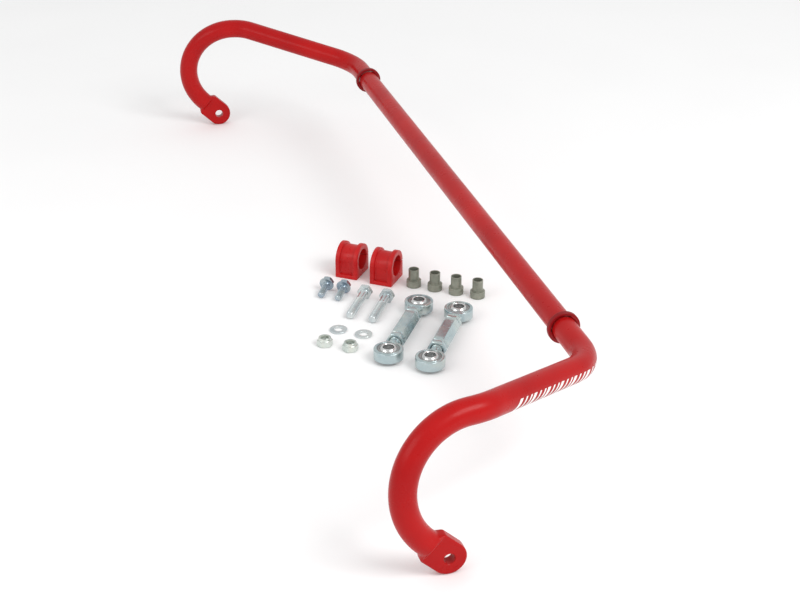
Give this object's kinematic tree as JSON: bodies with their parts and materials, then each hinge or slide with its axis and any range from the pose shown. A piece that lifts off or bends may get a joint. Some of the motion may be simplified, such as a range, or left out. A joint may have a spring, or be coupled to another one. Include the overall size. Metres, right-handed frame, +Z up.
{
  "type": "sway bar kit",
  "caption": "Bent round sway bar with hooked flattened ends and stop rings, laid out with its bushings, adjustable end links, sleeves and bolts.",
  "frame": {"origin": "on the axis of the bar's straight middle, halfway between its ends", "axes": "+X along the bar's middle towards the near end, the arms reach towards -Y, +Z up"},
  "size_m": [1.2014, 0.257, 0.1634],
  "materials": {
    "red_powder_coat": "semi-gloss red powder coat",
    "stop_ring_coat": "darker red powder coat",
    "polyurethane": "smooth red polyurethane",
    "machined_steel": "turned steel with a dull grey-green coat",
    "blue_zinc": "bluish zinc plate",
    "clear_zinc": "clear zinc plate",
    "link_zinc": "zinc plate with a faint blue and yellow cast",
    "race_steel": "dark turned steel",
    "ball_steel": "ground ball",
    "nylon": "translucent nylon"
  },
  "bodies": {
    "bar": {"bar": "red_powder_coat", "stop_ring_near": "stop_ring_coat", "stop_ring_far": "stop_ring_coat"},
    "bushing_1": {"bushing_1": "polyurethane"},
    "bushing_2": {"bushing_2": "polyurethane"},
    "sleeve_1": {"sleeve_1": "machined_steel"},
    "sleeve_2": {"sleeve_2": "machined_steel"},
    "sleeve_3": {"sleeve_3": "machined_steel"},
    "sleeve_4": {"sleeve_4": "machined_steel"},
    "flange_bolt_1": {"flange_bolt_1": "blue_zinc"},
    "flange_bolt_2": {"flange_bolt_2": "blue_zinc"},
    "long_bolt_1": {"long_bolt_1": "clear_zinc"},
    "long_bolt_2": {"long_bolt_2": "clear_zinc"},
    "washer_1": {"washer_1": "clear_zinc"},
    "washer_2": {"washer_2": "clear_zinc"},
    "nut_1": {"nut_1": "clear_zinc", "nut_insert_1": "nylon"},
    "nut_2": {"nut_2": "clear_zinc", "nut_insert_2": "nylon"},
    "link_1": {"rod_end_lower_1": "link_zinc", "race_lower_1": "race_steel"},
    "link_1_jam_nuts": {"jam_nut_lower_1": "link_zinc", "jam_nut_upper_1": "link_zinc"},
    "link_1_coupler": {"coupler_1": "link_zinc"},
    "link_1_upper": {"rod_end_upper_1": "link_zinc", "race_upper_1": "race_steel"},
    "link_1_ball_lower": {"ball_lower_1": "ball_steel"},
    "link_1_ball_upper": {"ball_upper_1": "ball_steel"},
    "link_2": {"rod_end_lower_2": "link_zinc", "race_lower_2": "race_steel"},
    "link_2_jam_nuts": {"jam_nut_lower_2": "link_zinc", "jam_nut_upper_2": "link_zinc"},
    "link_2_coupler": {"coupler_2": "link_zinc"},
    "link_2_upper": {"rod_end_upper_2": "link_zinc", "race_upper_2": "race_steel"},
    "link_2_ball_lower": {"ball_lower_2": "ball_steel"},
    "link_2_ball_upper": {"ball_upper_2": "ball_steel"}
  },
  "joints": [
    {"name": "lift_bushing_1", "type": "slide", "parent": "bar", "child": "bushing_1", "axis": [0, 0, 1], "range_m": [0, 0.06]},
    {"name": "lift_bushing_2", "type": "slide", "parent": "bar", "child": "bushing_2", "axis": [0, 0, 1], "range_m": [0, 0.06]},
    {"name": "lift_sleeve_1", "type": "slide", "parent": "bar", "child": "sleeve_1", "axis": [0, 0, 1], "range_m": [0, 0.06]},
    {"name": "lift_sleeve_2", "type": "slide", "parent": "bar", "child": "sleeve_2", "axis": [0, 0, 1], "range_m": [0, 0.06]},
    {"name": "lift_sleeve_3", "type": "slide", "parent": "bar", "child": "sleeve_3", "axis": [0, 0, 1], "range_m": [0, 0.06]},
    {"name": "lift_sleeve_4", "type": "slide", "parent": "bar", "child": "sleeve_4", "axis": [0, 0, 1], "range_m": [0, 0.06]},
    {"name": "lift_flange_bolt_1", "type": "slide", "parent": "bar", "child": "flange_bolt_1", "axis": [0, 0, 1], "range_m": [0, 0.06]},
    {"name": "lift_flange_bolt_2", "type": "slide", "parent": "bar", "child": "flange_bolt_2", "axis": [0, 0, 1], "range_m": [0, 0.06]},
    {"name": "lift_long_bolt_1", "type": "slide", "parent": "bar", "child": "long_bolt_1", "axis": [0, 0, 1], "range_m": [0, 0.06]},
    {"name": "lift_long_bolt_2", "type": "slide", "parent": "bar", "child": "long_bolt_2", "axis": [0, 0, 1], "range_m": [0, 0.06]},
    {"name": "lift_washer_1", "type": "slide", "parent": "bar", "child": "washer_1", "axis": [0, 0, 1], "range_m": [0, 0.06]},
    {"name": "lift_washer_2", "type": "slide", "parent": "bar", "child": "washer_2", "axis": [0, 0, 1], "range_m": [0, 0.06]},
    {"name": "lift_nut_1", "type": "slide", "parent": "bar", "child": "nut_1", "axis": [0, 0, 1], "range_m": [0, 0.06]},
    {"name": "lift_nut_2", "type": "slide", "parent": "bar", "child": "nut_2", "axis": [0, 0, 1], "range_m": [0, 0.06]},
    {"name": "lift_link_1", "type": "slide", "parent": "bar", "child": "link_1", "axis": [0, 0, 1], "range_m": [0, 0.06]},
    {"name": "jam_nuts_slide_1", "type": "slide", "parent": "link_1", "child": "link_1_jam_nuts", "axis": [-0.848, 0.5299, 0], "range_m": [-0.00255, 0.00636]},
    {"name": "coupler_turn_1", "type": "hinge", "parent": "link_1_jam_nuts", "child": "link_1_coupler", "pos_m": [0.14423, -0.09633, -0.10895], "axis": [-0.848, 0.5299, 0], "range_deg": [-721.7, 1801.7]},
    {"name": "upper_end_slide_1", "type": "slide", "parent": "link_1", "child": "link_1_upper", "axis": [-0.848, 0.5299, 0], "range_m": [-0.00508, 0.0127]},
    {"name": "ball_tilt_lower_1", "type": "hinge", "parent": "link_1", "child": "link_1_ball_lower", "pos_m": [0.19596, -0.12865, -0.10895], "axis": [0.5299, 0.848, 0], "range_deg": [-14, 14]},
    {"name": "ball_tilt_upper_1", "type": "hinge", "parent": "link_1_upper", "child": "link_1_ball_upper", "pos_m": [0.0925, -0.064, -0.10895], "axis": [0.5299, 0.848, 0], "range_deg": [-14, 14]},
    {"name": "lift_link_2", "type": "slide", "parent": "bar", "child": "link_2", "axis": [0, 0, 1], "range_m": [0, 0.06]},
    {"name": "jam_nuts_slide_2", "type": "slide", "parent": "link_2", "child": "link_2_jam_nuts", "axis": [-0.848, 0.5299, 0], "range_m": [-0.00255, 0.00636]},
    {"name": "coupler_turn_2", "type": "hinge", "parent": "link_2_jam_nuts", "child": "link_2_coupler", "pos_m": [0.17372, -0.05719, -0.10895], "axis": [-0.848, 0.5299, 0], "range_deg": [-721.7, 1801.7]},
    {"name": "upper_end_slide_2", "type": "slide", "parent": "link_2", "child": "link_2_upper", "axis": [-0.848, 0.5299, 0], "range_m": [-0.00508, 0.0127]},
    {"name": "ball_tilt_lower_2", "type": "hinge", "parent": "link_2", "child": "link_2_ball_lower", "pos_m": [0.22545, -0.08952, -0.10895], "axis": [0.5299, 0.848, 0], "range_deg": [-14, 14]},
    {"name": "ball_tilt_upper_2", "type": "hinge", "parent": "link_2_upper", "child": "link_2_ball_upper", "pos_m": [0.12199, -0.02487, -0.10895], "axis": [0.5299, 0.848, 0], "range_deg": [-14, 14]}
  ],
  "couplings": [
    {"joint": "coupler_turn_1", "follows": "upper_end_slide_1", "rad_per_m": 2473.7},
    {"joint": "jam_nuts_slide_1", "follows": "upper_end_slide_1", "ratio": 0.5},
    {"joint": "coupler_turn_2", "follows": "upper_end_slide_2", "rad_per_m": 2473.7},
    {"joint": "jam_nuts_slide_2", "follows": "upper_end_slide_2", "ratio": 0.5}
  ]
}
